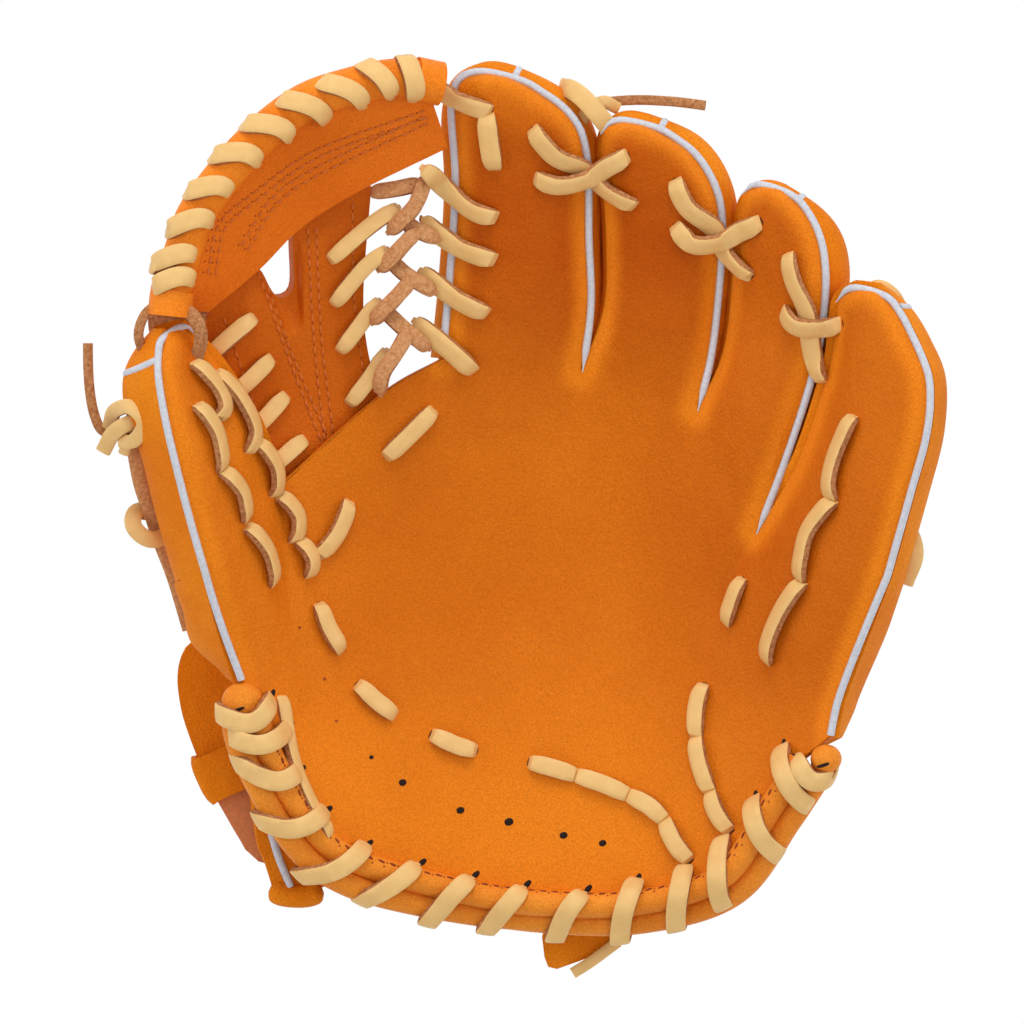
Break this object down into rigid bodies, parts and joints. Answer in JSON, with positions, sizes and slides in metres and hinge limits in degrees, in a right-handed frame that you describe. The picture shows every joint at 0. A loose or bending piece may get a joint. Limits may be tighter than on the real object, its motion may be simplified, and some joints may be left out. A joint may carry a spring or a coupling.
{
  "type": "baseball glove",
  "caption": "Left-hand leather fielder's glove with a laced post web, rolled heel edge, padded sides that fold towards the pocket, and a wrist strap.",
  "frame": {"origin": "on the flat rest face of the hand back, under the pocket", "axes": "+Z out of the palm, +Y to the fingertips, +X to the little finger"},
  "size_m": [0.2771, 0.2922, 0.0928],
  "materials": {
    "leather": "smooth satin orange-tan leather",
    "lace": "smooth cream rawhide lace with rough brown edges",
    "suede": "rough brown underside of the lace",
    "welt": "light grey welting",
    "lining": "thin soft lining leather",
    "felt": "pressed felt padding"
  },
  "bodies": {
    "palm": {"palm_leather": "leather", "palm_lining": "lining", "index_back": "leather", "middle_back": "leather", "ring_back": "leather", "index_welt": "welt", "middle_welt": "welt", "ring_welt": "welt", "hand_back": "leather", "heel_roll": "leather", "heel_lace": "lace", "index_middle_lace_a": "lace", "index_middle_lace_b": "lace", "middle_ring_lace_a": "lace", "middle_ring_lace_b": "lace", "index_tip_lace": "lace", "pocket_lace_heel": "lace", "fingertip_knot": "lace", "fingertip_lace_tail": "suede"},
    "thumb_side": {"thumb_leather": "leather", "thumb_lining": "lining", "thumb_pad": "felt", "thumb_back": "leather", "thumb_welt": "welt", "thumb_lace_outer": "lace", "thumb_lace_inner": "lace", "pocket_lace_1": "lace", "pocket_lace_2": "lace", "pocket_lace_3": "lace", "pocket_lace_4": "lace", "web_rim": "leather", "web_band": "leather", "web_post": "leather", "web_rim_lace": "lace", "web_thumb_lace_1": "lace", "web_thumb_lace_2": "lace", "web_thumb_lace_3": "lace", "web_thumb_lace_4": "lace", "web_index_lace_1": "lace", "web_index_lace_2": "lace", "web_index_lace_3": "lace", "web_index_lace_4": "lace", "thumb_heel_roll": "leather", "thumb_heel_lace": "lace", "thumb_knot": "lace", "thumb_lace_tail": "suede", "thumb_edge_lace": "suede"},
    "pinky_side": {"pinky_leather": "leather", "pinky_lining": "lining", "pinky_pad": "felt", "pinky_back": "leather", "pinky_welt": "welt", "pinky_lace": "lace", "pocket_lace_pinky": "lace", "pinky_heel_roll": "leather", "pinky_heel_lace": "lace", "ring_pinky_lace_a": "lace", "ring_pinky_lace_b": "lace"},
    "wrist_strap": {"wrist_strap": "leather", "strap_keeper": "leather"}
  },
  "joints": [
    {"name": "thumb_fold", "type": "hinge", "parent": "palm", "child": "thumb_side", "pos_m": [-0.0235, 0.019, 0.051], "axis": [0.0493, 0.9939, 0.0986], "range_deg": [0, 40], "deforming": ["web_index_lace_1", "web_index_lace_2", "web_index_lace_3", "web_index_lace_4"]},
    {"name": "pinky_fold", "type": "hinge", "parent": "palm", "child": "pinky_side", "pos_m": [0.0665, -0.0165, 0.052], "axis": [-0.3023, -0.9443, -0.1302], "range_deg": [0, 35], "deforming": ["ring_pinky_lace_a", "ring_pinky_lace_b"]},
    {"name": "strap_fold", "type": "hinge", "parent": "palm", "child": "wrist_strap", "pos_m": [0.012, -0.11, 0], "axis": [0, -1, 0], "range_deg": [0, 60]}
  ]
}
